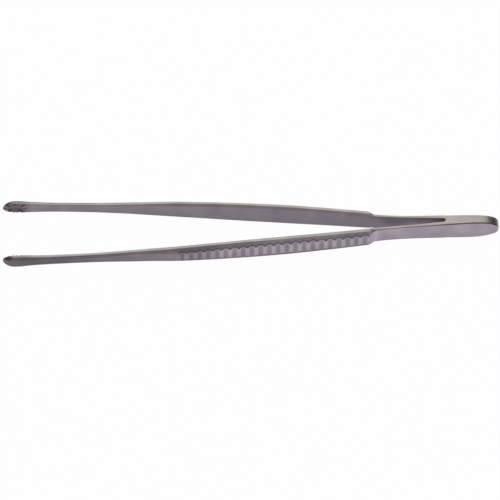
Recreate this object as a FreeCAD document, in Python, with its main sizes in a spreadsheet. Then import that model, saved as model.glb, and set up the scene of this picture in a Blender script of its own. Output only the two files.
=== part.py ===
"""Thumb forceps with fluted grips and toothed, cupped tips, modelled in millimetres.

The instrument is two forged steel arms, welded and ground flush at the heel, so it is one solid.
It lies on its edges: X runs from the tips to the heel, Y across the two arms and Z up through their
width. The origin is under the middle of its length, midway between the arms, on the table.
"""
import FreeCAD, Part
import math
import os
import Sketcher

# Every size that can be set, with what it measures. Stations are distances from the tips.
SIZES = [
    ("overall_length", 200.0, "tips to the end of the heel"),
    ("ground_width", 9.4, "grips and heel are ground flat to this, and lie on their lower edges"),
    ("tip_half_gap", 13.4, "inner face of a tip to the middle plane"),
    ("grip_end_half_gap", 3.2, "inner face at the end of the grip to the middle plane"),
    ("bow_radius", 1400.0, "the inner face of each arm is one long arc of this radius"),
    ("round_land", 0.4, "flat left where the round of the shank meets its edges"),
    ("round_turn", 80.0, "turn of the rounding on the outside of the shank, in degrees"),
    ("shank_edge_break", 0.45, "edge break along the inner face of the shank and cup"),
    ("cup_station", 5.0, "widest place of the cupped tip, and the centre of its hollow"),
    ("cup_width", 5.85, ""),
    ("cup_thickness", 2.8, ""),
    ("throat_station", 10.0, "behind the cup"),
    ("throat_width", 5.2, ""),
    ("throat_thickness", 2.55, ""),
    ("neck_station", 16.0, "where the cup has run out"),
    ("neck_width", 4.55, ""),
    ("neck_thickness", 2.25, ""),
    ("shank_start_station", 22.0, "slimmest place of the arm"),
    ("shank_start_width", 4.3, ""),
    ("shank_start_thickness", 2.2, ""),
    ("shank_width", 4.4, "a quarter of the way along the shank"),
    ("shank_thickness", 2.15, ""),
    ("taper_width", 5.2, "halfway along the shank"),
    ("taper_thickness", 2.25, ""),
    ("root_width", 6.5, "where the round of the shank turns into the bevel of the grip"),
    ("root_thickness", 2.6, ""),
    ("root_bevel_in", 1.35, "bevel across the thickness"),
    ("root_bevel_down", 2.3, "bevel across the width"),
    ("root_bevel_turn", 50.0, "turn of the bevel's crown, in degrees"),
    ("grip_start_width", 7.7, ""),
    ("grip_front_width", 8.95, ""),
    ("grip_middle_width", 9.5, "widest place, before its edges are ground flat"),
    ("grip_back_width", 9.0, ""),
    ("grip_end_width", 8.2, ""),
    ("grip_thickness", 3.0, ""),
    ("grip_edge_break", 0.65, "edge break along the inner face of the grip"),
    ("grip_bevel_in", 1.25, "bevel across the thickness"),
    ("grip_bevel_down", 2.1, "bevel across the width"),
    ("grip_bevel_turn", 24.0, "turn of the bevel's crown, in degrees"),
    ("shoulder_length", 2.9, "ramp from the end of the grip down to the spring plate"),
    ("shoulder_middle_width", 7.5, "the ramp is hollow: halfway along, it is already this low"),
    ("shoulder_middle_thickness", 1.9, ""),
    ("plate_root_width", 7.3, "waist of the arm, at the foot of the shoulder"),
    ("plate_root_thickness", 1.35, ""),
    ("plate_length", 28.2, "foot of the shoulder to the end of the slot between the arms"),
    ("plate_middle_width", 7.6, ""),
    ("plate_middle_half_thickness", 2.92, "outer face to the middle plane, halfway along the plate"),
    ("plate_edge_break", 0.3, "edge break round the spring plate and heel"),
    ("plate_break_turn", 24.0, "turn of that edge's crown, in degrees"),
    ("slot_end_radius", 0.9, "the slot is cut from the solid, and ends round"),
    ("heel_length", 21.3, "end of the slot to the end of the heel, all of it welded"),
    ("slot_end_width", 8.75, ""),
    ("slot_end_thickness", 2.45, "one arm's share of the heel there"),
    ("heel_width", 9.5, "before its edges are ground flat"),
    ("heel_thickness", 2.0, "one arm's share of the heel where its end starts to round"),
    ("heel_end_thickness", 1.7, "one arm's share of the heel at its end"),
    ("heel_edge_radius", 1.2, "the end of the heel is rounded across its thickness too"),
    ("heel_edge_rise", 0.15, "how far outside the heel that rounding starts"),
    ("weld_depth", 0.9, "stock past the middle plane, ground off before the arms are welded"),
    ("nose_length", 5.0, "the nose of each cup is rounded over this length"),
    ("nose_start_radius", 3.12, "radius of the nose where its rounding starts"),
    ("nose_end_radius", 2.1, "radius of the very tip"),
    ("cup_cutter_half_length", 3.6, "the hollow is cut by a barrel-shaped cutter of this size"),
    ("cup_cutter_radius", 2.1, ""),
    ("cup_depth", 1.3, "depth of the hollow below the inner face"),
    ("tooth_count", 12, "gaps between the teeth round the rim of the cup"),
    ("tooth_gap_half_width", 0.48, "at the inner face"),
    ("tooth_gap_depth", 0.6, ""),
    ("tooth_reach", 4.6, "how far the gaps between the teeth run out from the centre of the cup"),
    ("flute_count", 22, "hollows across the outside of each grip"),
    ("flute_pitch", 3.51, ""),
    ("flute_radius", 3.3, ""),
    ("flute_depth", 0.5, ""),
    ("heel_side_clearance", 0.02, "the half oval starts just outside the sides of the heel"),
    ("cutter_clearance", 2.0, "how far each cutter reaches past the metal"),
]

# What follows from those sizes: where the parts of an arm meet, and the centre of its bow.
DERIVED = [
    ("slot_end_station", "overall_length - heel_length"),
    ("plate_root_station", "slot_end_station - plate_length"),
    ("plate_middle_station", "(plate_root_station + slot_end_station) / 2"),
    ("grip_end_station", "plate_root_station - shoulder_length"),
    ("grip_length", "flute_count * flute_pitch"),
    ("grip_start_station", "grip_end_station - grip_length"),
    ("heel_round_length", "heel_length / 2"),
    ("heel_round_station", "overall_length - heel_round_length"),
    ("half_closing", "(tip_half_gap - grip_end_half_gap) / 2"),
    ("half_chord", "sqrt((grip_end_station / 2)^2 + half_closing^2)"),
    ("bow_reach", "sqrt(bow_radius^2 - half_chord^2)"),
    ("bow_station", "grip_end_station / 2 - bow_reach * half_closing / half_chord"),
    ("bow_offset", "(tip_half_gap + grip_end_half_gap) / 2"
                   " - bow_reach * grip_end_station / 2 / half_chord"),
]

doc = FreeCAD.newDocument("thumb_forceps")
sizes = doc.addObject("Spreadsheet::Sheet", "Sizes")
for row, (name, value, note) in enumerate(SIZES, start=1):
    sizes.set(f"A{row}", name)
    sizes.set(f"B{row}", str(value))
    sizes.setAlias(f"B{row}", name)
    sizes.set(f"C{row}", note)
for row, (name, formula) in enumerate(DERIVED, start=len(SIZES) + 2):
    sizes.set(f"A{row}", name)
    sizes.set(f"B{row}", f"={formula}")
    sizes.setAlias(f"B{row}", name)
doc.recompute()

ORIGIN_POINT = (-1, 1)
MID_HEIGHT = "(Sizes.ground_width / 2)"


def value_of(expression):
    """The number that an expression on the sheet gives."""
    result = sizes.evalExpression(expression)
    return float(getattr(result, "Value", result))


def along(station):
    """X of a station, from its distance to the tips."""
    return f"({station} - Sizes.overall_length / 2)"


def bow(station):
    """Y of the inner face at a station: the long arc that each arm follows."""
    return (f"(Sizes.bow_offset"
            f" + sqrt(Sizes.bow_radius^2 - ({station} - Sizes.bow_station)^2))")


def bow_slope(station):
    """Turn of the inner face at a station, in degrees."""
    return f"(-asin(({station} - Sizes.bow_station) / Sizes.bow_radius))"


def origin_plane(body, role):
    return next(item for item in body.Origin.OriginFeatures if item.Role == role)


def place(feature, body, role, offset, turn=None):
    """Attach a feature to an origin plane of its body, with expressions for its offset and turn."""
    feature.AttachmentSupport = [(origin_plane(body, role), "")]
    feature.MapMode = "FlatFace"
    for axis, expression in zip("xyz", offset):
        feature.setExpression(f"AttachmentOffset.Base.{axis}", expression)
    if turn:
        axis_vector, angle = turn
        feature.AttachmentOffset = FreeCAD.Placement(
            FreeCAD.Vector(), FreeCAD.Rotation(axis_vector, value_of(angle)))
        feature.setExpression("AttachmentOffset.Rotation.Angle", angle)


def lock(sketch, item, across=None, up=None):
    """Hold a point of a sketch at coordinates given as expressions, or only one of them."""
    for kind, expression in (("DistanceX", across), ("DistanceY", up)):
        if expression is None:
            continue
        distance = value_of(expression)
        if distance >= 0:
            index = sketch.addConstraint(Sketcher.Constraint(kind, *ORIGIN_POINT, *item, distance))
            sketch.setExpression(f"Constraints[{index}]", expression)
        else:
            index = sketch.addConstraint(Sketcher.Constraint(kind, *item, *ORIGIN_POINT, -distance))
            sketch.setExpression(f"Constraints[{index}]", f"-({expression})")


def vector(across, up):
    return FreeCAD.Vector(value_of(across), value_of(up), 0)


def join_chain(sketch, items, closed=True):
    """Make each piece of an outline start where the one before it ends."""
    followers = items[1:] + items[:1] if closed else items[1:]
    for current, following in zip(items, followers):
        sketch.addConstraint(Sketcher.Constraint("Coincident", current, 2, following, 1))


def polygon(sketch, corners):
    """A closed outline of straight lines through corners given as expressions."""
    ends = corners[1:] + corners[:1]
    lines = [sketch.addGeometry(Part.LineSegment(vector(*start), vector(*end)))
             for start, end in zip(corners, ends)]
    join_chain(sketch, lines)
    for line, corner in zip(lines, corners):
        lock(sketch, (line, 1), *corner)
    return lines


def held_at(sketch, kind, items, expression):
    """A constraint whose size is an expression."""
    held = sketch.addConstraint(Sketcher.Constraint(kind, *items, value_of(expression)))
    sketch.setExpression(f"Constraints[{held}]", expression)


def line_chain(sketch, corners):
    """Straight lines from corner to corner, held at every corner but the first and last."""
    lines = [sketch.addGeometry(Part.LineSegment(vector(*corner), vector(*following)))
             for corner, following in zip(corners, corners[1:])]
    for line, corner in zip(lines[1:], corners[1:-1]):
        lock(sketch, (line, 1), *corner)
    return lines


def section(body, name, station, gap, thickness, width, edge_break, bevel):
    """One cross-section of an arm: a flat inner face, and an outer face between crowned bevels."""
    bevel_in, bevel_down, turn = bevel
    sketch = body.newObject("Sketcher::SketchObject", name)
    place(sketch, body, "YZ_Plane", ("0", "0", along(station)))
    low = f"{MID_HEIGHT} - {width} / 2"
    high = f"{MID_HEIGHT} + {width} / 2"
    outer = f"{gap} + {thickness}"
    corners = [
        (gap, f"{high} - {edge_break}"),
        (gap, f"{low} + {edge_break}"),
        (f"{gap} + {edge_break}", low),
        (f"{outer} - {bevel_in}", low),
        (outer, f"{low} + {bevel_down}"),
        (outer, f"{high} - {bevel_down}"),
        (f"{outer} - {bevel_in}", high),
        (f"{gap} + {edge_break}", high),
    ]
    crowned = (3, 5)
    items = []
    for index, corner in enumerate(corners):
        start = vector(*corner)
        end = vector(*corners[(index + 1) % len(corners)])
        if index in crowned:
            chord = end - start
            outward = FreeCAD.Vector(chord.y, -chord.x, 0)
            crown = (start + end) / 2 + outward * value_of(f"tan({turn} / 4 * 1deg) / 2")
            items.append(sketch.addGeometry(Part.Arc(start, crown, end)))
        else:
            items.append(sketch.addGeometry(Part.LineSegment(start, end)))
    join_chain(sketch, items)
    for item, corner in zip(items, corners):
        lock(sketch, (item, 1), *corner)
    radius = f"sqrt(({bevel_in})^2 + ({bevel_down})^2) / (2 * sin({turn} / 2 * 1deg))"
    for index in crowned:
        held_at(sketch, "Radius", (items[index],), radius)
    return sketch


def loft(body, name, sections):
    feature = body.newObject("PartDesign::AdditiveLoft", name)
    feature.Profile = sections[0]
    feature.Sections = sections[1:]
    return feature


def pattern(body, name, original, axis_sketch, step, count):
    """Repeat a cut round the axis that stands on the origin of a sketch."""
    feature = body.newObject("PartDesign::PolarPattern", name)
    feature.Originals = [original]
    feature.Axis = (axis_sketch, ["N_Axis"])
    feature.Mode = "Spacing"
    feature.Reversed = True
    feature.setExpression("Offset", step)
    feature.setExpression("Occurrences", count)
    body.Tip = feature
    return feature


arm = doc.addObject("PartDesign::Body", "arm")

# Cross-sections of the forged arm. The outside of the cup and shank is nearly half round, and
# that of the grip is flat between crowned bevels.
ROOT_BEVEL = ("Sizes.root_bevel_in", "Sizes.root_bevel_down", "Sizes.root_bevel_turn")
GRIP_BEVEL = ("Sizes.grip_bevel_in", "Sizes.grip_bevel_down", "Sizes.grip_bevel_turn")
PLATE_BEVEL = ("Sizes.plate_edge_break", "Sizes.plate_edge_break", "Sizes.plate_break_turn")


def between(start, end, share):
    """A station a share of the way from one to another."""
    return f"({start} + ({end} - {start}) * {share})"


def rounded_section(name, place_name, station):
    width = f"Sizes.{place_name}_width"
    thickness = f"Sizes.{place_name}_thickness"
    round_in = f"({thickness} - Sizes.shank_edge_break - Sizes.round_land)"
    round_down = f"({width} / 2 - Sizes.round_land)"
    return section(arm, name, station, bow(station), thickness, width,
                   "Sizes.shank_edge_break", (round_in, round_down, "Sizes.round_turn"))


def shank_station(share):
    return between("Sizes.shank_start_station", "Sizes.grip_start_station", share)


def grip_section(place_name, share):
    station = between("Sizes.grip_start_station", "Sizes.grip_end_station", share)
    return section(arm, f"section_{place_name}", station, bow(station), "Sizes.grip_thickness",
                   f"Sizes.{place_name}_width", "Sizes.grip_edge_break", GRIP_BEVEL)


grip_sections = [grip_section("grip_start", 0), grip_section("grip_front", 0.25),
                 grip_section("grip_middle", 0.5), grip_section("grip_back", 0.75),
                 grip_section("grip_end", 1)]
tip_sections = [
    rounded_section("section_nose", "cup", "0"),
    rounded_section("section_cup", "cup", "Sizes.cup_station"),
    rounded_section("section_throat", "throat", "Sizes.throat_station"),
    rounded_section("section_neck", "neck", "Sizes.neck_station"),
    rounded_section("section_shank_start", "shank_start", "Sizes.shank_start_station"),
]
shank_sections = [
    tip_sections[-1],
    rounded_section("section_shank", "shank", shank_station(0.25)),
    rounded_section("section_taper", "taper", shank_station(0.5)),
    section(arm, "section_root", shank_station(0.75), bow(shank_station(0.75)),
            "Sizes.root_thickness", "Sizes.root_width", "Sizes.shank_edge_break", ROOT_BEVEL),
    grip_sections[0],
]
loft(arm, "tip", tip_sections)
loft(arm, "shank", shank_sections)
loft(arm, "grip", grip_sections)

# The nose: everything outside its round outline, turned about the inner face, is ground away.
nose_start = "Sizes.nose_length"
nose_outline = arm.newObject("Sketcher::SketchObject", "nose_outline")
place(nose_outline, arm, "XY_Plane", (along(nose_start), bow(nose_start), MID_HEIGHT),
      (FreeCAD.Vector(0, 0, 1), bow_slope(nose_start)))
tip_radius = value_of("Sizes.nose_end_radius")
tip_centre = FreeCAD.Vector(tip_radius - value_of("Sizes.nose_length"), 0, 0)
start_point = FreeCAD.Vector(0, value_of("Sizes.nose_start_radius"), 0)
rise = start_point.y - tip_radius
flank_radius = tip_radius + (tip_centre.x ** 2 + rise ** 2) / (2 * rise)
flank_centre = FreeCAD.Vector(0, start_point.y - flank_radius, 0)
meeting = (tip_centre - flank_centre).normalize()
flank_turn = math.atan2(meeting.y, meeting.x)
upward = FreeCAD.Vector(0, 0, 1)
flank = nose_outline.addGeometry(Part.ArcOfCircle(
    Part.Circle(flank_centre, upward, flank_radius), math.pi / 2, flank_turn))
tip = nose_outline.addGeometry(Part.ArcOfCircle(
    Part.Circle(tip_centre, upward, tip_radius), flank_turn, math.pi))
past_nose = "(-Sizes.nose_length - Sizes.cutter_clearance)"
past_back = "(Sizes.nose_start_radius + Sizes.cutter_clearance)"
waste = line_chain(nose_outline, [
    ("-Sizes.nose_length", "0"), (past_nose, "0"), (past_nose, past_back), ("0", past_back),
    ("0", "Sizes.nose_start_radius")])
join_chain(nose_outline, [tip] + waste + [flank], closed=False)
nose_outline.addConstraint(Sketcher.Constraint("Tangent", flank, 2, tip, 1))
lock(nose_outline, (flank, 1), "0", "Sizes.nose_start_radius")
lock(nose_outline, (flank, 3), across="0")
lock(nose_outline, (tip, 3), "Sizes.nose_end_radius - Sizes.nose_length", "0")
lock(nose_outline, (tip, 2), up="0")
held_at(nose_outline, "Radius", (tip,), "Sizes.nose_end_radius")
nose = arm.newObject("PartDesign::Groove", "nose")
nose.Profile = nose_outline
nose.ReferenceAxis = (nose_outline, ["H_Axis"])
nose.Angle = 360

# The cup: a barrel-shaped cutter, on an axis above the inner face, is sunk into the tip.
cup_outline = arm.newObject("Sketcher::SketchObject", "cup_outline")
cup_axis = f"({bow('Sizes.cup_station')} + Sizes.cup_depth - Sizes.cup_cutter_radius)"
place(cup_outline, arm, "XY_Plane", (along("Sizes.cup_station"), cup_axis, MID_HEIGHT),
      (FreeCAD.Vector(0, 0, 1), bow_slope("Sizes.cup_station")))
cutter_end = vector("Sizes.cup_cutter_half_length", "0")
barrel = cup_outline.addGeometry(Part.Arc(
    cutter_end, vector("0", "Sizes.cup_cutter_radius"), cutter_end * -1))
spindle = cup_outline.addGeometry(Part.LineSegment(cutter_end * -1, cutter_end))
join_chain(cup_outline, [barrel, spindle])
lock(cup_outline, (spindle, 1), "-Sizes.cup_cutter_half_length", "0")
lock(cup_outline, (spindle, 2), "Sizes.cup_cutter_half_length", "0")
held_at(cup_outline, "Radius", (barrel,),
        "(Sizes.cup_cutter_half_length^2 + Sizes.cup_cutter_radius^2)"
        " / (2 * Sizes.cup_cutter_radius)")
cup = arm.newObject("PartDesign::Groove", "cup")
cup.Profile = cup_outline
cup.ReferenceAxis = (cup_outline, ["H_Axis"])
cup.Angle = 360

# The teeth: one gap is cut from the cup out through the rim at the nose, then stepped all round.
rim = arm.newObject("Sketcher::SketchObject", "cup_centre")
place(rim, arm, "XZ_Plane", (along("Sizes.cup_station"), MID_HEIGHT, f"-{bow('Sizes.cup_station')}"),
      (FreeCAD.Vector(0, 1, 0), bow_slope("Sizes.cup_station")))
gap_outline = arm.newObject("Sketcher::SketchObject", "tooth_gap_outline")
place(gap_outline, arm, "YZ_Plane",
      (bow("Sizes.cup_station"), MID_HEIGHT, along("Sizes.cup_station")),
      (FreeCAD.Vector(0, 1, 0), bow_slope("Sizes.cup_station")))
polygon(gap_outline, [("-Sizes.tooth_gap_depth", "-2 * Sizes.tooth_gap_half_width"),
                      ("Sizes.tooth_gap_depth", "0"),
                      ("-Sizes.tooth_gap_depth", "2 * Sizes.tooth_gap_half_width")])
tooth_gap = arm.newObject("PartDesign::Pocket", "tooth_gap")
tooth_gap.Profile = gap_outline
tooth_gap.setExpression("Length", "Sizes.tooth_reach")
pattern(arm, "teeth", tooth_gap, rim, "360deg / Sizes.tooth_count", "Sizes.tooth_count")

# The flutes: round hollows across the grip, stepped along the bow of the arm.
bow_centre = arm.newObject("Sketcher::SketchObject", "bow_centre")
place(bow_centre, arm, "XY_Plane",
      (along("Sizes.bow_station"), "Sizes.bow_offset", "0"))
flute = arm.newObject("PartDesign::SubtractiveCylinder", "flute")
first_flute = "(Sizes.grip_start_station + Sizes.flute_pitch / 2)"
flute_axis = (f"{bow(first_flute)} + Sizes.grip_thickness - Sizes.flute_depth"
              " + Sizes.flute_radius")
place(flute, arm, "XY_Plane", (along(first_flute), flute_axis, "-Sizes.cutter_clearance"))
flute.setExpression("Radius", "Sizes.flute_radius")
flute.setExpression("Height", "Sizes.grip_middle_width + 2 * Sizes.cutter_clearance")
pattern(arm, "flutes", flute, bow_centre,
        "Sizes.flute_pitch / (Sizes.bow_radius + Sizes.grip_thickness) * 1rad",
        "Sizes.flute_count")

# The shoulder: a hollow ramp from the grip down to the spring plate.
shoulder_station = "(Sizes.grip_end_station + Sizes.shoulder_length / 2)"
shoulder_middle = section(arm, "section_shoulder", shoulder_station, bow(shoulder_station),
                          "Sizes.shoulder_middle_thickness", "Sizes.shoulder_middle_width",
                          "Sizes.plate_edge_break", PLATE_BEVEL)
plate_root = section(arm, "section_plate_root", "Sizes.plate_root_station",
                     bow("Sizes.plate_root_station"), "Sizes.plate_root_thickness",
                     "Sizes.plate_root_width", "Sizes.plate_edge_break", PLATE_BEVEL)
shoulder = loft(arm, "shoulder", [grip_sections[-1], shoulder_middle, plate_root])
shoulder.Ruled = True

# The spring plate and this arm's half of the heel, with stock left on the inside.
heel_bottom = "(-Sizes.weld_depth)"
plate_middle = section(arm, "section_plate_middle", "Sizes.plate_middle_station", heel_bottom,
                       "(Sizes.plate_middle_half_thickness + Sizes.weld_depth)",
                       "Sizes.plate_middle_width", "Sizes.plate_edge_break", PLATE_BEVEL)
slot_end = section(arm, "section_slot_end", "Sizes.slot_end_station", heel_bottom,
                   "(Sizes.slot_end_thickness + Sizes.weld_depth)", "Sizes.slot_end_width",
                   "Sizes.plate_edge_break", PLATE_BEVEL)
heel_front = section(arm, "section_heel", "Sizes.heel_round_station", heel_bottom,
                     "(Sizes.heel_thickness + Sizes.weld_depth)", "Sizes.heel_width",
                     "Sizes.plate_edge_break", PLATE_BEVEL)
heel_back = section(arm, "section_heel_end", "Sizes.overall_length", heel_bottom,
                    "(Sizes.heel_end_thickness + Sizes.weld_depth)", "Sizes.heel_width",
                    "Sizes.plate_edge_break", PLATE_BEVEL)
loft(arm, "spring_plate", [plate_root, plate_middle, slot_end, heel_front, heel_back])


def through_cut(name, outline):
    """Cut an outline through the whole arm, both ways."""
    cut = arm.newObject("PartDesign::Pocket", name)
    cut.Profile = outline
    cut.Type = "ThroughAll"
    cut.SideType = "Symmetric"


# The inside: the slot between the two plates tapers straight to its round end. Past the slot, what
# reaches over the middle plane comes off, and leaves the weld face.
inside_outline = arm.newObject("Sketcher::SketchObject", "inside_outline")
place(inside_outline, arm, "XY_Plane", ("0", "0", "0"))
slot_start = along("Sizes.plate_root_station")
round_centre = along("(Sizes.slot_end_station - Sizes.slot_end_radius)")
heel_end = "(Sizes.overall_length / 2 + Sizes.cutter_clearance)"
below_middle = "(-Sizes.weld_depth - Sizes.cutter_clearance)"
slot_round = inside_outline.addGeometry(Part.ArcOfCircle(
    Part.Circle(FreeCAD.Vector(value_of(round_centre), 0, 0), FreeCAD.Vector(0, 0, 1),
                value_of("Sizes.slot_end_radius")), 0, math.pi / 2))
inside = line_chain(inside_outline, [
    (round_centre, "Sizes.slot_end_radius"), (slot_start, bow("Sizes.plate_root_station")),
    (slot_start, below_middle), (heel_end, below_middle), (heel_end, "0"),
    (along("Sizes.slot_end_station"), "0")])
join_chain(inside_outline, [slot_round] + inside)
lock(inside_outline, (slot_round, 3), round_centre, "0")
lock(inside_outline, (slot_round, 2), across=round_centre)
lock(inside_outline, (slot_round, 1), up="0")
held_at(inside_outline, "Radius", (slot_round,), "Sizes.slot_end_radius")
through_cut("inside", inside_outline)

# The edges: the widest stretches of the grip and heel are ground flat on both sides.
edge_outline = arm.newObject("Sketcher::SketchObject", "edge_outline")
place(edge_outline, arm, "XZ_Plane", ("0", "0", "0"))
edge_start = along("0")
edge_far = "(Sizes.ground_width + Sizes.cutter_clearance)"
for low, high in (("-Sizes.cutter_clearance", "0"), ("Sizes.ground_width", edge_far)):
    polygon(edge_outline, [(edge_start, low), (heel_end, low), (heel_end, high),
                           (edge_start, high)])
through_cut("ground_edges", edge_outline)

# The heel ends in a half oval.
heel_outline = arm.newObject("Sketcher::SketchObject", "heel_outline")
place(heel_outline, arm, "XZ_Plane",
      ("Sizes.overall_length / 2 - Sizes.heel_round_length", MID_HEIGHT, "0"))
heel_side = "(Sizes.heel_width / 2 + Sizes.heel_side_clearance)"
heel_far = "(Sizes.heel_round_length + Sizes.cutter_clearance)"
heel_reach = f"({heel_side} + Sizes.cutter_clearance)"
oval = heel_outline.addGeometry(Part.ArcOfEllipse(
    Part.Ellipse(FreeCAD.Vector(), value_of("Sizes.heel_round_length"), value_of(heel_side)),
    -math.pi / 2, math.pi / 2))
heel_outline.exposeInternalGeometry(oval)
long_axis, short_axis = oval + 1, oval + 2
waste = line_chain(heel_outline, [
    ("0", heel_side), ("0", heel_reach), (heel_far, heel_reach), (heel_far, f"-{heel_reach}"),
    ("0", f"-{heel_reach}"), ("0", f"-{heel_side}")])
join_chain(heel_outline, [oval] + waste)
heel_outline.addConstraint(Sketcher.Constraint("Coincident", oval, 3, *ORIGIN_POINT))
heel_outline.addConstraint(Sketcher.Constraint("Horizontal", long_axis))
held_at(heel_outline, "Distance", (long_axis,), "2 * Sizes.heel_round_length")
held_at(heel_outline, "Distance", (short_axis,), f"2 * {heel_side}")
lock(heel_outline, (oval, 1), across="0")
lock(heel_outline, (oval, 2), across="0")
through_cut("heel_round", heel_outline)

# The end of the heel is rounded across its thickness as well.
end_outline = arm.newObject("Sketcher::SketchObject", "end_outline")
place(end_outline, arm, "XY_Plane", ("0", "0", "0"))
end_centre = "(Sizes.overall_length / 2 - Sizes.heel_edge_radius)"
end_low = "(Sizes.heel_end_thickness + Sizes.heel_edge_rise - Sizes.heel_edge_radius)"
end_high = f"({end_low} + Sizes.heel_edge_radius)"
end_round = end_outline.addGeometry(Part.ArcOfCircle(
    Part.Circle(FreeCAD.Vector(value_of(end_centre), value_of(end_low), 0),
                FreeCAD.Vector(0, 0, 1), value_of("Sizes.heel_edge_radius")), 0, math.pi / 2))
end_waste = line_chain(end_outline, [
    (end_centre, end_high), (end_centre, f"({end_high} + Sizes.cutter_clearance)"),
    (heel_end, f"({end_high} + Sizes.cutter_clearance)"), (heel_end, end_low),
    ("Sizes.overall_length / 2", end_low)])
join_chain(end_outline, [end_round] + end_waste)
lock(end_outline, (end_round, 3), end_centre, end_low)
lock(end_outline, (end_round, 2), across=end_centre)
lock(end_outline, (end_round, 1), up=end_low)
held_at(end_outline, "Radius", (end_round,), "Sizes.heel_edge_radius")
through_cut("end_round", end_outline)

# The other arm is the mirror image, and the two are welded at the heel.
other_arm = doc.addObject("Part::Mirroring", "other_arm")
other_arm.Source = arm
other_arm.Normal = FreeCAD.Vector(0, 1, 0)
forceps = doc.addObject("Part::Fuse", "forceps")
forceps.Base = arm
forceps.Tool = other_arm
forceps.Refine = True
forceps.Label = "forceps"
doc.recompute()

for item in doc.Objects:
    if "Invalid" in item.State or "Error" in item.State:
        raise RuntimeError(f"{item.Label} did not build: {item.State}")
shape = forceps.Shape
if shape.isNull() or not shape.isValid() or len(shape.Solids) != 1:
    raise RuntimeError("the forceps is not one sound solid")
os.makedirs("parts", exist_ok=True)
shape.exportStep("parts/forceps.step")
print("solids", len(shape.Solids), "volume", round(shape.Volume, 2), "mm3")
print("box", shape.optimalBoundingBox(True, False))
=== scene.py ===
# %% [markdown]
# A pair of thumb forceps: two steel arms, welded at the heel, that the fingers press together. It lies on
# its edges on a white table. The frame is the solid model of it, in metres. The heel points along +X, one
# arm lies on each side of the middle plane, and +Z is up. Everything below is fitted to that frame.

# %% The frame
import math

import bpy
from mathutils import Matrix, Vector


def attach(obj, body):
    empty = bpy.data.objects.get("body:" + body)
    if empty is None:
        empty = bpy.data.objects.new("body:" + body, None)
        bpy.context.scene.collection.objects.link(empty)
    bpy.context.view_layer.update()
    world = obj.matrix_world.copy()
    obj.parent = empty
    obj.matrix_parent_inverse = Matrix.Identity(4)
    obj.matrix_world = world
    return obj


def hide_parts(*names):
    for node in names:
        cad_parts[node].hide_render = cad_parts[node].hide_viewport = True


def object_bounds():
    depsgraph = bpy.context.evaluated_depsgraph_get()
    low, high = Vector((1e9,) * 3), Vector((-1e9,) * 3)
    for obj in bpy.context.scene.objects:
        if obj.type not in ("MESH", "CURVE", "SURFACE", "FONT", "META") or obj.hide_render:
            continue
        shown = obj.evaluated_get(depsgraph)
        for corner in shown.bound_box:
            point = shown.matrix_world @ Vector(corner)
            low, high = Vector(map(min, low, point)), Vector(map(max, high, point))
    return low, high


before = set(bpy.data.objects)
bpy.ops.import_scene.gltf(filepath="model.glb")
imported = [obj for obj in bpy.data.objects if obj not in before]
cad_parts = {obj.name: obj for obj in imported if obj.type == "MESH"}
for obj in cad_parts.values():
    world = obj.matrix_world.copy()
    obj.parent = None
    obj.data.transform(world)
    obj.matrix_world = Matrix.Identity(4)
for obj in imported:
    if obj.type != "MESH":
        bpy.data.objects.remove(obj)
cad_box = [list(corner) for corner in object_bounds()]
MM = 0.001
low, high = (Vector(corner) for corner in cad_box)
length = high.x - low.x
print(f"frame: {len(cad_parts)} node, {length / MM:.1f} mm long")

# %% [markdown]
# The photograph was taken from the side of one arm and well above the table, with a long lens from far
# away: both arms are drawn at nearly the same scale. The camera below stands at that place, and it aims
# a little in front of the forceps, because the forceps lies above the middle of the picture.

# %% The camera
AZIMUTH = math.radians(-1.25)
ELEVATION = math.radians(50.4)
DISTANCE = 2.7
PIXELS = 500
PIXELS_PER_METRE = 2479.0
AIM_LEFT_OF_CENTRE = 0.8
AIM_BELOW_CENTRE = 20.1

to_camera = Vector((math.sin(AZIMUTH) * math.cos(ELEVATION),
                    -math.cos(AZIMUTH) * math.cos(ELEVATION),
                    math.sin(ELEVATION)))
look = (-to_camera).to_track_quat("-Z", "Y")
picture_right = look @ Vector((1, 0, 0))
picture_up = look @ Vector((0, 1, 0))
middle = Vector((0, 0, high.z / 2))
aim = middle - picture_right * (AIM_LEFT_OF_CENTRE / PIXELS_PER_METRE)
aim -= picture_up * (AIM_BELOW_CENTRE / PIXELS_PER_METRE)

camera_data = bpy.data.cameras.new("camera")
camera_data.sensor_width = 36
camera_data.lens = PIXELS_PER_METRE * camera_data.sensor_width * DISTANCE / PIXELS
camera_data.clip_start = 0.05
camera_data.clip_end = 50
camera = bpy.data.objects.new("camera", camera_data)
camera.rotation_mode = "QUATERNION"
camera.rotation_quaternion = look
camera.location = aim + to_camera * DISTANCE
bpy.context.scene.collection.objects.link(camera)
bpy.context.scene.camera = camera
print(f"camera: {camera_data.lens:.0f} mm lens, {DISTANCE} m away")

# %% [markdown]
# Polished steel shows what stands round it, so the studio matters as much as the metal. One large soft
# light hangs behind and above the forceps, and what faces up mirrors it. A weaker one hangs overhead, and a
# warm card stands beyond the camera for the faces that look that way. The rest of the room is dim.

# %% The studio
scene = bpy.context.scene
scene.view_settings.view_transform = "Standard"


def soft_light(name, place, size, watts, colour):
    """A rectangular light at a place, turned to the forceps."""
    data = bpy.data.lights.new(name, "AREA")
    data.shape = "RECTANGLE"
    data.size, data.size_y = size
    data.energy = watts
    data.color = colour
    lamp = bpy.data.objects.new(name, data)
    lamp.location = place
    lamp.rotation_mode = "QUATERNION"
    lamp.rotation_quaternion = (middle - Vector(place)).to_track_quat("-Z", "Y")
    scene.collection.objects.link(lamp)


soft_light("back_light", (0.0, 1.05, 1.15), (1.3, 1.7), 7.1, (0.96, 1.0, 0.75))
soft_light("top_light", (0.0, 0.1, 1.7), (1.2, 1.3), 2.6, (1.0, 0.97, 0.92))
soft_light("front_card", (0.0, -1.9, 1.15), (2.6, 1.6), 4.8, (1.0, 0.94, 0.79))

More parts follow.
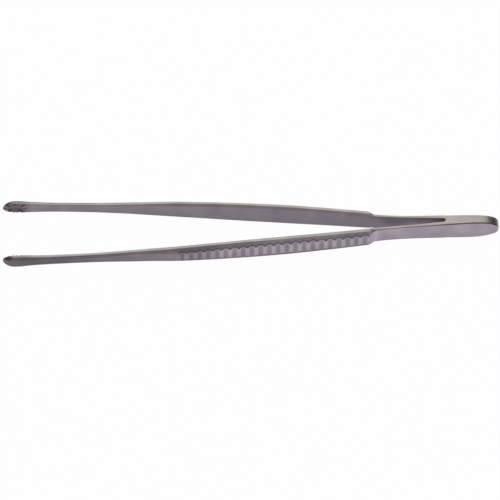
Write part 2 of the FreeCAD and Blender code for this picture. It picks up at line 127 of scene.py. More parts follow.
world = bpy.data.worlds.new("room")
scene.world = world
world.use_nodes = True
room = world.node_tree
room.nodes.clear()
room_seen = room.nodes.new("ShaderNodeBackground")
room_seen.inputs["Color"].default_value = (1, 1, 1, 1)
room_light = room.nodes.new("ShaderNodeBackground")
room_light.inputs["Color"].default_value = (0.10, 0.088, 0.095, 1)
room_path = room.nodes.new("ShaderNodeLightPath")
room_mix = room.nodes.new("ShaderNodeMixShader")
room_out = room.nodes.new("ShaderNodeOutputWorld")
room.links.new(room_path.outputs["Is Camera Ray"], room_mix.inputs["Fac"])
room.links.new(room_light.outputs[0], room_mix.inputs[1])
room.links.new(room_seen.outputs[0], room_mix.inputs[2])
room.links.new(room_mix.outputs[0], room_out.inputs["Surface"])
print("studio: three soft lights and a dim room")

# %% [markdown]
# The table is a large white sheet. Lit only by the lamps it would come out grey, so the camera sees it
# nearly white, with a trace of the forceps' shadow, and the steel mirrors it a third of the way to white.

# %% The table
TABLE_HALF = 6.0
WHITE_SHARE = 0.985
MIRRORED_SHARE = 0.34

table_mesh = bpy.data.meshes.new("table")
table_mesh.from_pydata([(-TABLE_HALF, -TABLE_HALF, 0), (TABLE_HALF, -TABLE_HALF, 0),
                        (TABLE_HALF, TABLE_HALF, 0), (-TABLE_HALF, TABLE_HALF, 0)], [], [(0, 1, 2, 3)])
table = bpy.data.objects.new("table", table_mesh)
scene.collection.objects.link(table)

table_white = bpy.data.materials.new("table_white")
table_white.use_nodes = True
nodes, links = table_white.node_tree.nodes, table_white.node_tree.links
nodes.clear()
lit = nodes.new("ShaderNodeBsdfDiffuse")
lit.inputs["Color"].default_value = (0.9, 0.9, 0.9, 1)
white = nodes.new("ShaderNodeEmission")
white.inputs["Color"].default_value = (1, 1, 1, 1)
path = nodes.new("ShaderNodeLightPath")
share = nodes.new("ShaderNodeMath")
share.operation = "MAXIMUM"
rays = [("Is Camera Ray", WHITE_SHARE), ("Is Glossy Ray", MIRRORED_SHARE)]
for socket, (ray, most) in zip(share.inputs, rays):
    seen = nodes.new("ShaderNodeMath")
    seen.operation = "MULTIPLY"
    seen.inputs[1].default_value = most
    links.new(path.outputs[ray], seen.inputs[0])
    links.new(seen.outputs[0], socket)
mix = nodes.new("ShaderNodeMixShader")
out = nodes.new("ShaderNodeOutputMaterial")
links.new(share.outputs[0], mix.inputs["Fac"])
links.new(lit.outputs[0], mix.inputs[1])
links.new(white.outputs[0], mix.inputs[2])
links.new(mix.outputs[0], out.inputs["Surface"])
table_mesh.materials.append(table_white)
print("table: laid")

# %% [markdown]
# The metal is stainless steel with a satin finish: brushed along the arms, then tumbled, which leaves it
# even, slightly dark and a little purple. It is one metal everywhere, so one material carries it, and light
# and shade are painted into its colour where five marks say so. They are stored on the points of the arm
# further
# down, each from 0 to 1: "in_flute" is highest in the middle of a flute, where it paints shade, and lowest
# at its rims, where it paints a highlight, and counts only "on_grip"; "outer_highlight" paints a highlight
# on the outer faces of the grip and the ramp; "painted_shade" paints shade on the nose, the tip, the outside
# of the shank, the arches, the plate's bevel and the slot's mouth; and "in_slot" paints light on the walls
# of the slot.

# %% The steel
STEEL = (0.45, 0.397, 0.475)
CLOUD_DARK, CLOUD_LIGHT = (0.86, 0.85, 0.88), (1.08, 1.08, 1.06)
# Painted light in the flutes: a painted highlight at each flute's rims and painted shade in its middle.
FLUTE_RIM_HIGHLIGHT, FLUTE_MIDDLE_SHADE = (1.12, 1.12, 1.12), (0.72, 0.72, 0.735)
RIM_ENDS, MIDDLE_STARTS = 0.35, 0.75
# Painted light and shade: a painted highlight on the outer faces, painted shade on the nose, tip, shank,
# arches, bevel and slot mouth, and painted light on the walls of the slot.
PAINTED_LIGHT = {"outer_highlight": (1.9, 1.9, 1.9), "painted_shade": (0.38, 0.38, 0.38), "in_slot": (1.45, 1.5, 1.35)}
BRUSH_SCALE, CLOUD_SCALE = (60, 2600, 2600), 140.0
GLOSSIEST, DULLEST = 0.26, 0.40
BRUSH_STRENGTH, BRUSH_HEIGHT = 0.10, 0.08 * MM


def satin_steel(name):
    """Satin stainless steel: fine lengthwise brushing, faint cloudiness, small changes in its gloss, and
    painted light and shade where the marks say so.
    """
    material = bpy.data.materials.new(name)
    material.use_nodes = True
    nodes, links = material.node_tree.nodes, material.node_tree.links
    nodes.clear()

    def noise(vector, scale, detail):
        """A cloudy value from 0 to 1."""
        node = nodes.new("ShaderNodeTexNoise")
        node.inputs["Scale"].default_value = scale
        node.inputs["Detail"].default_value = detail
        links.new(vector, node.inputs["Vector"])
        return node.outputs["Fac"]

    def ramp(value, *stops):
        """A colour for each value, through two (value, colour) stops."""
        node = nodes.new("ShaderNodeValToRGB")
        for element, (position, colour) in zip(node.color_ramp.elements, stops):
            element.position = position
            element.color = (*colour, 1)
        links.new(value, node.inputs["Fac"])
        return node.outputs["Color"]

    def marked_at(mark):
        node = nodes.new("ShaderNodeAttribute")
        node.attribute_name = mark
        return node.outputs["Fac"]

    def multiplied(colour, mark):
        """A colour that is multiplied where a mark says so, and the input for what it is multiplied by."""
        node = nodes.new("ShaderNodeMix")
        node.data_type = "RGBA"
        node.blend_type = "MULTIPLY"
        links.new(marked_at(mark), node.inputs["Factor"])
        links.new(colour, node.inputs[6])
        return node.outputs[2], node.inputs[7]

    shader = nodes.new("ShaderNodeBsdfPrincipled")
    out = nodes.new("ShaderNodeOutputMaterial")
    links.new(shader.outputs[0], out.inputs["Surface"])
    shader.inputs["Metallic"].default_value = 1.0
    place = nodes.new("ShaderNodeTexCoord")
    along = nodes.new("ShaderNodeMapping")
    along.inputs["Scale"].default_value = BRUSH_SCALE
    links.new(place.outputs["Object"], along.inputs["Vector"])
    brush = noise(along.outputs[0], 1.0, 3.0)
    clouds = noise(place.outputs["Object"], CLOUD_SCALE, 4.0)
    dark, light = ([whole * part for whole, part in zip(STEEL, cloud)]
                   for cloud in (CLOUD_DARK, CLOUD_LIGHT))
    # On the grip's outside the flute mark paints a highlight at the rims and shade in the middle of each
    # flute.
    colour, tint_by = multiplied(ramp(clouds, (0.3, dark), (0.7, light)), "on_grip")
    fluted = ramp(marked_at("in_flute"), (RIM_ENDS, FLUTE_RIM_HIGHLIGHT), (MIDDLE_STARTS, FLUTE_MIDDLE_SHADE))
    links.new(fluted, tint_by)
    # Each of these marks multiplies in its painted highlight, painted shade or painted light.
    for mark, tint in PAINTED_LIGHT.items():
        colour, tint_by = multiplied(colour, mark)
        tint_by.default_value = (*tint, 1)
    links.new(colour, shader.inputs["Base Color"])
    gloss = nodes.new("ShaderNodeMapRange")
    gloss.inputs["To Min"].default_value = GLOSSIEST
    gloss.inputs["To Max"].default_value = DULLEST
    links.new(brush, gloss.inputs["Value"])
    links.new(gloss.outputs["Result"], shader.inputs["Roughness"])
    bump = nodes.new("ShaderNodeBump")
    bump.inputs["Strength"].default_value = BRUSH_STRENGTH
    bump.inputs["Distance"].default_value = BRUSH_HEIGHT
    links.new(brush, bump.inputs["Height"])
    links.new(bump.outputs["Normal"], shader.inputs["Normal"])
    return material


steel = satin_steel("satin_steel")
print("steel: mixed")

# %% [markdown]
# One arm is a forged bar whose cross-section changes all the way from the tip to the heel. It could be cut
# out of a block or pushed about by hand, but a rule gives truer lines: a flat sheet of points is laid out in
# Geometry Nodes, one way along the arm and the other way round its cross-section, and each point is sent to
# its place by sums. The sums read best as plain arithmetic, so a small wrapper turns each operator into a
# node, and a profile is drawn as a Float Curve through the sizes at chosen distances from the tip.

# %% Sums as nodes
rule = bpy.data.node_groups.new("forceps_rule", "GeometryNodeTree")


class Sum:
    """A value inside the rule. Adding or multiplying two of them adds a node."""

    def __init__(self, socket):
        self.socket = socket

    def __add__(self, other):
        return sum_node("ADD", self, other)

    def __sub__(self, other):
        return sum_node("SUBTRACT", self, other)

    def __rsub__(self, other):
        return sum_node("SUBTRACT", other, self)

    def __mul__(self, other):
        return sum_node("MULTIPLY", self, other)

    def __truediv__(self, other):
        return sum_node("DIVIDE", self, other)

    def __rtruediv__(self, other):
        return sum_node("DIVIDE", other, self)

    __radd__ = __add__
    __rmul__ = __mul__


def feed(socket, value):
    """Send a sum, a socket or a plain value to an input."""
    if isinstance(value, Sum):
        value = value.socket
    if isinstance(value, bpy.types.NodeSocket):
        rule.links.new(value, socket)
    else:
        socket.default_value = value


def sum_node(operation, *values):
    """One Math node, fed with the values in order."""
    node = rule.nodes.new("ShaderNodeMath")
    node.operation = operation
    for socket, value in zip(node.inputs, values):
        feed(socket, value)
    return Sum(node.outputs[0])


def step_at(value, edge):
    """0 before an edge and 1 after it."""
    return sum_node("GREATER_THAN", value, edge)


def share_between(value, start, end):
    """How far a value has gone from start to end, held to 0..1."""
    node = rule.nodes.new("ShaderNodeMapRange")
    feed(node.inputs["Value"], value)
    feed(node.inputs["From Min"], start)
    feed(node.inputs["From Max"], end)
    return Sum(node.outputs["Result"])


def root(value):
    return sum_node("SQRT", sum_node("MAXIMUM", value, 0.0))


def profile(value, points, reach, top):
    """A smooth curve through (distance, size) points, both in millimetres."""
    node = rule.nodes.new("ShaderNodeFloatCurve")
    curve = node.mapping.curves[0]
    while len(curve.points) < len(points):
        curve.points.new(0.5, 0.5)
    for point, (distance, size) in zip(curve.points, points):
        point.location = (distance / reach, size / top)
        point.handle_type = "AUTO_CLAMPED"
    node.mapping.update()
    feed(node.inputs["Value"], value / (reach * MM))
    return Sum(node.outputs["Value"]) * (top * MM)


print("sums: ready")

# %% [markdown]
# The sizes that someone may want to change are the rule's named inputs: the same real sizes, in metres, as
# the solid model has. The rest of the shape is in the profiles further down.

# %% The rule's inputs
ARM_SIZES = {
    "Length": 200.0, "Ground width": 9.4, "Tip half gap": 13.4, "Grip half gap": 3.2,
    "Bow radius": 1400.0, "Grip start": 70.4, "Grip end": 147.6, "Plate start": 150.5,
    "Slot end": 178.7, "Slot radius": 0.9, "Heel round": 10.65, "Heel edge": 1.2, "Nose": 5.0,
    "Flute pitch": 3.51, "Flute radius": 3.3, "Flute depth": 0.5, "Cup place": 5.0,
    "Cup length": 3.6, "Cup radius": 2.1, "Cup depth": 1.3, "Tooth reach": 4.6, "Tooth gap": 0.48,
    "Tooth depth": 0.6,
}
ARM_COUNTS = {"Flutes": 22, "Teeth": 12}

for name, size in ARM_SIZES.items():
    rule.interface.new_socket(name=name, in_out="INPUT", socket_type="NodeSocketFloat")
for name in ARM_COUNTS:
    rule.interface.new_socket(name=name, in_out="INPUT", socket_type="NodeSocketInt")
rule.interface.new_socket(name="Steel", in_out="INPUT", socket_type="NodeSocketMaterial")
rule.interface.new_socket(name="Forceps", in_out="OUTPUT", socket_type="NodeSocketGeometry")
given = rule.nodes.new("NodeGroupInput")
size_of = {name: Sum(given.outputs[name]) for name in (*ARM_SIZES, *ARM_COUNTS)}
print(f"inputs: {len(size_of)} sizes and counts")

# %% [markdown]
# The sheet of points. Along the arm its columns crowd where the shape turns fast: at the nose, at the end of
# the slot and at the end of the heel. Across the grip there is a fixed number of columns to each flute, so
# a column always lies on the crest between two flutes. Round the section, the rows run from the middle of
# the inner face up over the outside to its middle, and back below to where they began.

# %% The sheet of points
NOSE_COLUMNS, SHANK_COLUMNS, FLUTE_COLUMNS, RAMP_COLUMNS = 30, 90, 12, 12
PLATE_COLUMNS, SLOT_END_COLUMNS, HEEL_COLUMNS, HEEL_END_COLUMNS = 40, 12, 12, 44
INNER_ROWS, BREAK_ROWS, SIDE_ROWS, BEVEL_ROWS, OUTER_ROWS = 5, 2, 3, 9, 5
HALF_ROWS = INNER_ROWS + BREAK_ROWS + SIDE_ROWS + BEVEL_ROWS + OUTER_ROWS
QUARTER_TURN = math.pi / 2

fluted_columns = size_of["Flutes"] * FLUTE_COLUMNS
other_columns = (NOSE_COLUMNS + SHANK_COLUMNS + RAMP_COLUMNS + PLATE_COLUMNS + SLOT_END_COLUMNS
                 + HEEL_COLUMNS + HEEL_END_COLUMNS)
columns = fluted_columns + other_columns
sheet = rule.nodes.new("GeometryNodeMeshGrid")
feed(sheet.inputs["Vertices X"], columns + 1)
sheet.inputs["Vertices Y"].default_value = 2 * HALF_ROWS + 1
feed(sheet.inputs["Size X"], columns)
sheet.inputs["Size Y"].default_value = 2 * HALF_ROWS
where = rule.nodes.new("GeometryNodeInputPosition")
split = rule.nodes.new("ShaderNodeSeparateXYZ")
rule.links.new(where.outputs[0], split.inputs[0])
column = sum_node("ROUND", Sum(split.outputs["X"]) + columns / 2)
row = sum_node("ROUND", Sum(split.outputs["Y"]) + HALF_ROWS)

slot_round = size_of["Slot end"] - size_of["Slot radius"]
heel_round = size_of["Length"] - size_of["Heel round"]
stretches = [
    (NOSE_COLUMNS, size_of["Nose"], "from rest"),
    (SHANK_COLUMNS, size_of["Grip start"] - size_of["Nose"], "even"),
    (fluted_columns, size_of["Grip end"] - size_of["Grip start"], "even"),
    (RAMP_COLUMNS, size_of["Plate start"] - size_of["Grip end"], "even"),
    (PLATE_COLUMNS, slot_round - size_of["Plate start"], "even"),
    (SLOT_END_COLUMNS, size_of["Slot radius"], "to rest"),
    (HEEL_COLUMNS, heel_round - size_of["Slot end"], "even"),
    (HEEL_END_COLUMNS, size_of["Heel round"], "to rest"),
]
station = 0.0
first = 0.0
for count, reach, pace in stretches:
    share = share_between(column, first, first + count)
    if pace == "from rest":
        share = 1.0 - sum_node("COSINE", share * QUARTER_TURN)
    if pace == "to rest":
        share = sum_node("SINE", share * QUARTER_TURN)
    station = station + share * reach
    first = first + count
print(f"sheet: {2 * HALF_ROWS} rows, {other_columns} columns and {FLUTE_COLUMNS} to a flute")

# %% [markdown]
# Each arm's inner face follows one long arc from the tip to the shoulder. Behind the shoulder the slot
# between the two thin spring plates tapers straight to a small round end, and past it the arms are one.

# %% The inner face
along_bow = size_of["Grip end"] / 2
half_closing = (size_of["Tip half gap"] - size_of["Grip half gap"]) / 2
half_chord = root(along_bow * along_bow + half_closing * half_closing)
bow_reach = root(size_of["Bow radius"] * size_of["Bow radius"] - half_chord * half_chord)
bow_station = along_bow - bow_reach * half_closing / half_chord
bow_offset = ((size_of["Tip half gap"] + size_of["Grip half gap"]) / 2
              - bow_reach * along_bow / half_chord)


def bow_at(distance):
    """The inner face's distance from the middle plane, on the arc."""
    from_centre = distance - bow_station
    return bow_offset + root(size_of["Bow radius"] * size_of["Bow radius"] - from_centre * from_centre)


on_plate = step_at(station, size_of["Plate start"])
down_slot = share_between(station, size_of["Plate start"], slot_round)
plate_gap = bow_at(size_of["Plate start"]) * (1.0 - down_slot) + size_of["Slot radius"] * down_slot
into_round = sum_node("MAXIMUM", station - slot_round, 0.0)
round_gap = root(size_of["Slot radius"] * size_of["Slot radius"] - into_round * into_round)
past_round = step_at(station, slot_round)
gap = (bow_at(station) * (1.0 - on_plate)
       + plate_gap * (on_plate - past_round) + round_gap * past_round)
print("inner face: an arc, a straight slot and the weld")

# %% [markdown]
# Three profiles say how the bar swells and thins: half its width, its thickness as far as the shoulder, and
# from there how far its outer face lies from the middle plane. The cupped tip is wide, the shank behind it
# slim, and the grip a broad flat bar. A hollow ramp, the shoulder, drops to the thin plate. At the very end
# the heel is rounded across its thickness.

# %% The profiles
REACH = 200.0
half_width = profile(station, [
    (0, 5.6), (5, 5.6), (10, 5.15), (16, 4.57), (22, 4.3), (34.1, 4.44), (46.2, 5.22), (58.3, 6.5),
    (70.4, 7.7), (80, 8.34), (89.7, 8.95), (109, 9.5), (128.3, 9.0), (140, 8.55), (147.6, 8.2),
    (149.05, 7.52), (150.5, 7.3), (154, 7.24), (158, 7.3), (164.6, 7.6), (172, 8.18),
    (178.7, 8.75), (185, 9.24), (189.35, 9.5), (200, 9.6)], REACH, 10.0) / 2
half_width = sum_node("MINIMUM", half_width, size_of["Ground width"] / 2)
bar = profile(station, [
    (0, 2.75), (5, 2.75), (10, 2.5), (16, 2.26), (22, 2.2), (34.1, 2.16), (46.2, 2.25), (58.3, 2.6),
    (70.4, 3.0), (89.7, 3.0), (120, 3.0), (200, 3.0)], REACH, 4.0)
down_ramp = share_between(station, size_of["Grip end"], size_of["Plate start"])
HOLLOW = 1.6
RAMP_FOOT = 1.35 * MM
ramp = RAMP_FOOT + (bar - RAMP_FOOT) * sum_node("POWER", 1.0 - down_ramp, HOLLOW)
outer_plate = profile(station, [
    (0, 4.19), (140, 4.19), (150.5, 4.19), (152, 3.97), (155, 3.58), (158, 3.31), (161, 3.1), (164.6, 2.93),
    (168, 2.81), (172, 2.72), (176, 2.62), (180, 2.53), (185, 2.38), (189.35, 2.25), (195, 2.12),
    (200, 2.02)], REACH, 5.0)
END_FLAT = 0.9 * MM
edge_start = size_of["Length"] - size_of["Heel edge"]
into_edge = sum_node("MAXIMUM", station - edge_start, 0.0)
edge_arc = END_FLAT + root(size_of["Heel edge"] * size_of["Heel edge"] - into_edge * into_edge)
before_edge = 1.0 - step_at(station, edge_start)
outer_plate = sum_node("MINIMUM", outer_plate, edge_arc + before_edge * size_of["Ground width"])
thickness = ramp * (1.0 - on_plate) + (outer_plate - gap) * on_plate
print("profiles: width, thickness, ramp, plate")

# %% [markdown]
# The edges. A flat bevel breaks the edge of the inner face: wide on the upper side of the grip, narrow on
# its lower side. Outside, a broad round takes nearly the whole shank. On the grip it has become a slope,
# and on the plate a narrow bevel. Two profiles say what part of the thickness and of the width the slope
# takes, and a third how full it is, from almost a quarter circle to almost flat. From the grip on, the
# lower slope is smaller than the upper one, until they meet again at the end of the heel.

# %% The edges
UNIT = 1.0 / MM
LOWER_BREAK = 0.35 * MM
UNEVEN_FROM, UNEVEN_TO = 58 * MM, 75 * MM
LESS_IN, LESS_DOWN = 0.35, 0.28

on_upper = step_at(HALF_ROWS - row, 0.0)
on_lower = 1.0 - on_upper
upper_break = profile(station, [
    (0, 0.3), (10, 0.25), (46, 0.28), (58.3, 0.5), (75, 0.85), (110, 0.85), (147, 0.75), (151, 0.12),
    (200, 0.12)], REACH, 2.0)
lower_break = sum_node("MINIMUM", upper_break, LOWER_BREAK)
edge_break = (upper_break * on_upper + lower_break * on_lower) * (1.0 - past_round)
to_heel = share_between(station, heel_round, size_of["Length"])
uneven = share_between(station, UNEVEN_FROM, UNEVEN_TO) * (1.0 - to_heel) * on_lower
slope_in = profile(station, [
    (0, 0.84), (10, 0.76), (34, 0.7), (46, 0.58), (58.3, 0.52), (70.4, 0.55), (90, 0.56), (115, 0.47),
    (147.6, 0.45), (150.5, 0.25), (158, 0.15), (180, 0.15), (200, 0.18)], REACH, 1.0) * UNIT
slope_in = slope_in * (thickness - edge_break) * (1.0 - LESS_IN * uneven)
slope_down = profile(station, [
    (0, 0.86), (16, 0.82), (46, 0.84), (58.3, 0.72), (70.4, 0.65), (89.7, 0.61), (109, 0.6),
    (128.3, 0.61), (147.6, 0.62), (149.05, 0.28), (150.5, 0.12), (165, 0.115), (200, 0.115)],
    REACH, 1.0) * UNIT
slope_down = slope_down * half_width * (1.0 - LESS_DOWN * uneven)
fullness = profile(station, [
    (0, 0.91), (46, 0.91), (58.3, 0.72), (70.4, 0.56), (200, 0.56)], REACH, 1.0) * UNIT
print("edges: broken, sloped")

# %% [markdown]
# Each grip has a row of shallow round hollows, the flutes, which give wet gloves a hold. Real ones are
# milled across the bar with a round cutter. A flute is therefore a limit: nothing may stand out further than
# the cutter's circle lets it. Where the limit meets the sloping edge, it draws the arch at the top of a
# flute. In the photograph the flutes look shallower than their named depth, the first ones most, so the
# drawn ones reach only a share of it.

# %% The flutes
FIRST_DEPTH, FULL_DEPTH = 0.38, 0.6
FIRST_FLUTES = 22 * MM
JUST_INSIDE = 0.01 * MM

flute_share = (station - size_of["Grip start"]) / size_of["Flute pitch"]
from_middle = (sum_node("FRACT", flute_share) - 0.5) * size_of["Flute pitch"]
deepening = share_between(station, size_of["Grip start"], size_of["Grip start"] + FIRST_FLUTES)
flute_depth = size_of["Flute depth"] * (FIRST_DEPTH + deepening * (FULL_DEPTH - FIRST_DEPTH))
hollow = (flute_depth - size_of["Flute radius"]
          + root(size_of["Flute radius"] * size_of["Flute radius"] - from_middle * from_middle))
in_grip = (step_at(station, size_of["Grip start"] + JUST_INSIDE)
           - step_at(station, size_of["Grip end"] - JUST_INSIDE))
hollow = sum_node("MAXIMUM", hollow, 0.0) * in_grip
print("flutes: a limit on the outer face")

# %% [markdown]
# With those numbers, each point finds its own place on the section: along the inner face, over its broken
# edge, along the side, down the slope until the flute's limit stops it, and back along the outer face. The
# nose of the tip is the same section, drawn smaller and smaller inside a round outline. The heel's outline
# is an oval, fuller above than below.

# %% The section
NOSE_POWER, NOSE_REACH = 1.9, 4.8 * MM
UPPER_POWER, LOWER_POWER = 2.6, 2.0
NARROWED, NARROWED_FROM, NARROWED_TO = 0.08, 160 * MM, 178 * MM

half_row = HALF_ROWS - sum_node("ABSOLUTE", row - HALF_ROWS)
above = sum_node("SIGN", HALF_ROWS - row)
ends = [0, INNER_ROWS, BREAK_ROWS, SIDE_ROWS, BEVEL_ROWS, OUTER_ROWS]
edges_at = [sum(ends[:place + 1]) for place in range(len(ends))]
on_inner, on_break, on_side, on_slope, on_outer = (
    share_between(half_row, start, end) for start, end in zip(edges_at, edges_at[1:]))

slope_left = 1.0 - hollow / slope_in
bend = 1.0 - 2.0 * fullness
slope_end = slope_left / (fullness + root(fullness * fullness + bend * slope_left))
along_slope = slope_end * on_slope
slope_out = along_slope * (2.0 * fullness * (1.0 - along_slope) + along_slope)
slope_back = along_slope * (2.0 * (1.0 - fullness) * (1.0 - along_slope) + along_slope)

height = ((half_width - edge_break) * on_inner + edge_break * on_break
          - slope_down * slope_back) * (1.0 - on_outer)
outward = (edge_break * on_break
           + (thickness - slope_in - edge_break) * on_side + slope_in * slope_out)


def rounded_off(share, power):
    """1 at a share of 0 and 0 at a share of 1, along an oval: round for 2, squarer for more."""
    return sum_node("POWER", 1.0 - sum_node("POWER", share, power), 1.0 / power)


to_nose = 1.0 - sum_node("MINIMUM", station / NOSE_REACH, 1.0)
nose = rounded_off(to_nose, NOSE_POWER)
heel_oval = rounded_off(to_heel, LOWER_POWER + (UPPER_POWER - LOWER_POWER) * on_upper)
on_heel = share_between(station, NARROWED_FROM, NARROWED_TO)
heel_oval = heel_oval * (1.0 - NARROWED * on_heel * on_lower)

place = rule.nodes.new("ShaderNodeCombineXYZ")
feed(place.inputs["X"], station - size_of["Length"] / 2)
feed(place.inputs["Y"], gap + outward * nose)
feed(place.inputs["Z"], size_of["Ground width"] / 2 + height * above * nose * heel_oval)
print("section: each point has its place")

# %% [markdown]
# The sheet is bent into place and its rims are welded into a closed shell. First the steel's five marks are
# stored on its points. That has to be done while the sheet is flat: a point's row and column are worked out
# from where it lies, so after the bending they would come out wrong.

# %% The arm
SAME_POINT = 0.002 * MM
# How strong the painted highlights on the grip and the ramp are, and how deep the painted shade is.
GRIP_HIGHLIGHT, RAMP_HIGHLIGHT = 0.58, 0.42
TIP_SHADE, SHANK_SHADE, BEVEL_SHADE, MOUTH_SHADE = 0.4, 0.66, 0.6, 0.5


def geometry_node(kind, **inputs):
    node = rule.nodes.new(kind)
    for socket, value in inputs.items():
        feed(node.inputs[socket.replace("_", " ")], value)
    return node


def marked(shape, name, value):
    node = geometry_node("GeometryNodeStoreNamedAttribute", Geometry=shape, Name=name)
    node.data_type = "FLOAT"
    node.domain = "POINT"
    feed(node.inputs["Value"], value)
    return node.outputs[0]


def after(start, end):
    """0 before a stretch of the arm and 1 after it, in millimetres from the tip."""
    return share_between(station, start * MM, end * MM)


outside = step_at(half_row, edges_at[4] - 0.5)
within = 1.0 - outside
on_face = 1.0 - step_at(half_row, edges_at[1] + 0.5)
below_arch = sum_node("MAXIMUM", share_between(on_outer, -0.4, 0.25), on_lower)
grip_start, plate_start = size_of["Grip start"], size_of["Plate start"]
# A painted highlight on the grip's outer faces, and a painted streak of light down the shoulder's ramp.
grip_highlight = GRIP_HIGHLIGHT * share_between(station, grip_start - 2 * MM, grip_start + 20 * MM)
past_ramp = share_between(station, plate_start, plate_start + 1.5 * MM)
ramp_highlight = RAMP_HIGHLIGHT * down_ramp * (1.0 - past_ramp)

# Painted shade on the nose, the whole tip, the sloping outside of the shank, the lower slope at the flutes'
# arches, the plate's bevel and the slot's mouth.
nose_shade = outside * (1.0 - after(1.0, 4.5))
tip_shade = TIP_SHADE * (1.0 - after(9, 12))
shank_shade = SHANK_SHADE * on_slope * (1.0 - after(25, 65))
arch_shade = in_grip * share_between(on_slope, 0.4, 0.85) * within
bevel_shade = BEVEL_SHADE * on_plate * share_between(on_slope, 0.0, 0.3) * within
mouth = (1.0 - share_between(on_inner, 0.3, 0.8)) * after(152, 156) * (1.0 - after(162, 167))
painted_shade = MOUTH_SHADE * mouth
for shade_part in (nose_shade, tip_shade, shank_shade, arch_shade, bevel_shade):
    painted_shade = sum_node("MAXIMUM", painted_shade, shade_part)

arm = sheet.outputs["Mesh"]
for name, share in [
        ("in_flute", hollow / flute_depth * outside * below_arch), ("on_grip", in_grip * outside),
        ("outer_highlight", outside * (grip_highlight + ramp_highlight)), ("painted_shade", painted_shade),
        # Painted light on the walls of the slot.
        ("in_slot", down_slot * on_face * (1.0 - past_round))]:
    arm = marked(arm, name, share)
bent = geometry_node("GeometryNodeSetPosition", Geometry=arm)
feed(bent.inputs["Position"], place.outputs[0])
arm = geometry_node("GeometryNodeMergeByDistance", Geometry=bent.outputs[0], Distance=SAME_POINT).outputs[0]
print("arm: bent and welded")

# %% [markdown]
# The tip is cupped and toothed, to hold tissue without slipping. The cup is a barrel taken out of the inner
# face, and the teeth are what is left of its rim between wedge-shaped gaps that run out from its middle.
# A wedge is one four-sided rod, set round the cup as often as the count says, and all are cut away at once.

# %% The cup and its teeth
cup_x = size_of["Cup place"] - size_of["Length"] / 2
cup_y = bow_at(size_of["Cup place"])
cup_z = size_of["Ground width"] / 2


def point_at(x, y, z):
    node = rule.nodes.new("ShaderNodeCombineXYZ")
    for socket, value in zip(node.inputs, (x, y, z)):
        feed(socket, value)
    return node.outputs[0]


ball = geometry_node("GeometryNodeMeshUVSphere", Segments=48, Rings=24, Radius=1.0)
barrel = geometry_node(
    "GeometryNodeTransform", Geometry=ball.outputs["Mesh"],
    Translation=point_at(cup_x, cup_y + size_of["Cup depth"] - size_of["Cup radius"], cup_z),
    Scale=point_at(size_of["Cup length"], size_of["Cup radius"], size_of["Cup radius"])).outputs[0]

rod = geometry_node("GeometryNodeMeshCylinder", Vertices=4, Radius=1.0, Depth=1.0)
wedge = geometry_node("GeometryNodeTransform", Geometry=rod.outputs["Mesh"],
                      Translation=(0.0, 0.0, 0.5)).outputs[0]
wedge = geometry_node("GeometryNodeTransform", Geometry=wedge,
                      Rotation=(0.0, QUARTER_TURN, 0.0)).outputs[0]
wedge = geometry_node("GeometryNodeTransform", Geometry=wedge, Scale=point_at(
    size_of["Tooth reach"], size_of["Tooth depth"], size_of["Tooth gap"])).outputs[0]
spokes = geometry_node("GeometryNodePoints", Count=size_of["Teeth"])
spoke = rule.nodes.new("GeometryNodeInputIndex")
spoke_turn = Sum(spoke.outputs[0]) * (2 * math.pi) / size_of["Teeth"] + math.pi
gaps = geometry_node("GeometryNodeInstanceOnPoints", Points=spokes.outputs[0], Instance=wedge)
feed(gaps.inputs["Rotation"], point_at(0.0, spoke_turn, 0.0))
gaps = geometry_node("GeometryNodeRealizeInstances", Geometry=gaps.outputs[0]).outputs[0]
gaps = geometry_node("GeometryNodeTransform", Geometry=gaps,
                     Translation=point_at(cup_x, cup_y, cup_z)).outputs[0]

cut = rule.nodes.new("GeometryNodeMeshBoolean")
cut.operation = "DIFFERENCE"
cut.solver = "EXACT"
feed(cut.inputs["Mesh 1"], arm)
feed(cut.inputs["Mesh 2"], barrel)
feed(cut.inputs["Mesh 2"], gaps)
print(f"tip: one cup and {ARM_COUNTS['Teeth']} gaps")

# %% [markdown]
# The other arm is this one in a mirror. Where the two meet at the heel they are welded, so the faces on the
# middle plane go, and the rims join. Only points on that plane are merged, since merging everywhere would
# fold the finest slivers at the teeth. Edges that turn by more than a third of a right angle stay crisp.

# %% The pair
SHARP = math.radians(28)

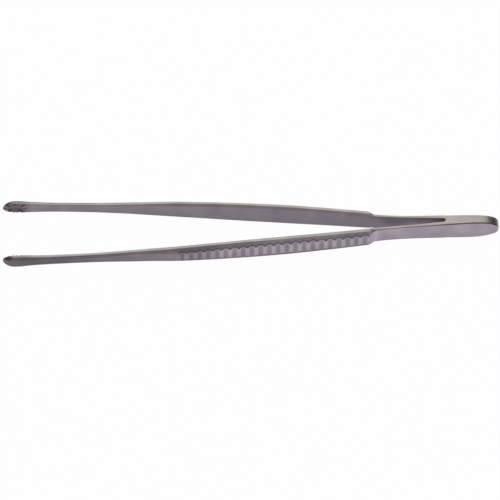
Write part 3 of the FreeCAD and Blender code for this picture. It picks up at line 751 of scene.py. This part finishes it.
open_places = rule.nodes.new("GeometryNodeInputPosition")
open_split = rule.nodes.new("ShaderNodeSeparateXYZ")
rule.links.new(open_places.outputs[0], open_split.inputs[0])
inside = sum_node("LESS_THAN", Sum(open_split.outputs["Y"]), SAME_POINT)
opened = rule.nodes.new("GeometryNodeDeleteGeometry")
opened.domain = "FACE"
feed(opened.inputs["Geometry"], cut.outputs["Mesh"])
feed(opened.inputs["Selection"], inside)
mirrored = geometry_node("GeometryNodeTransform", Geometry=opened.outputs[0], Scale=(1.0, -1.0, 1.0))
turned = geometry_node("GeometryNodeFlipFaces", Mesh=mirrored.outputs[0])
pair = rule.nodes.new("GeometryNodeJoinGeometry")
feed(pair.inputs[0], opened.outputs[0])
feed(pair.inputs[0], turned.outputs[0])
on_middle = sum_node("LESS_THAN", sum_node("ABSOLUTE", Sum(open_split.outputs["Y"])), SAME_POINT)
pair = geometry_node("GeometryNodeMergeByDistance", Geometry=pair.outputs[0], Selection=on_middle,
                     Distance=SAME_POINT).outputs[0]
pair = geometry_node("GeometryNodeSetShadeSmooth", Geometry=pair, Shade_Smooth=True).outputs[0]
bent_by = rule.nodes.new("GeometryNodeInputMeshEdgeAngle")
crisp = rule.nodes.new("GeometryNodeSetShadeSmooth")
crisp.domain = "EDGE"
feed(crisp.inputs["Geometry"], pair)
feed(crisp.inputs["Selection"], step_at(Sum(bent_by.outputs["Unsigned Angle"]), SHARP))
crisp.inputs["Shade Smooth"].default_value = False
solid = geometry_node("GeometryNodeRealizeInstances", Geometry=crisp.outputs[0]).outputs[0]
dressed = geometry_node("GeometryNodeSetMaterial", Geometry=solid, Material=given.outputs["Steel"])
result = rule.nodes.new("NodeGroupOutput")
feed(result.inputs[0], dressed.outputs[0])
print(f"rule: {len(rule.nodes)} nodes")

# %% [markdown]
# The rule runs once, on an empty object. What comes out is kept as a plain mesh, and the rule is taken off.

# %% The forceps
carrier_mesh = bpy.data.meshes.new("rule_carrier")
carrier = bpy.data.objects.new("rule_carrier", carrier_mesh)
scene.collection.objects.link(carrier)
modifier = carrier.modifiers.new("forceps_rule", "NODES")
modifier.node_group = rule
inputs = {item.name: item.identifier for item in rule.interface.items_tree if item.in_out == "INPUT"}
for name, size in ARM_SIZES.items():
    modifier[inputs[name]] = size * MM
for name, count in ARM_COUNTS.items():
    modifier[inputs[name]] = count
modifier[inputs["Steel"]] = steel
graph = bpy.context.evaluated_depsgraph_get()
forceps_mesh = bpy.data.meshes.new_from_object(carrier.evaluated_get(graph))
carrier.modifiers.remove(modifier)
bpy.data.objects.remove(carrier)
forceps_mesh.name = "drawn_forceps"
forceps = bpy.data.objects.new("drawn_forceps", forceps_mesh)
scene.collection.objects.link(forceps)
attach(forceps, "root")
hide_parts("forceps")
forceps_mesh.calc_loop_triangles()
print(f"forceps: {len(forceps_mesh.loop_triangles)} triangles")
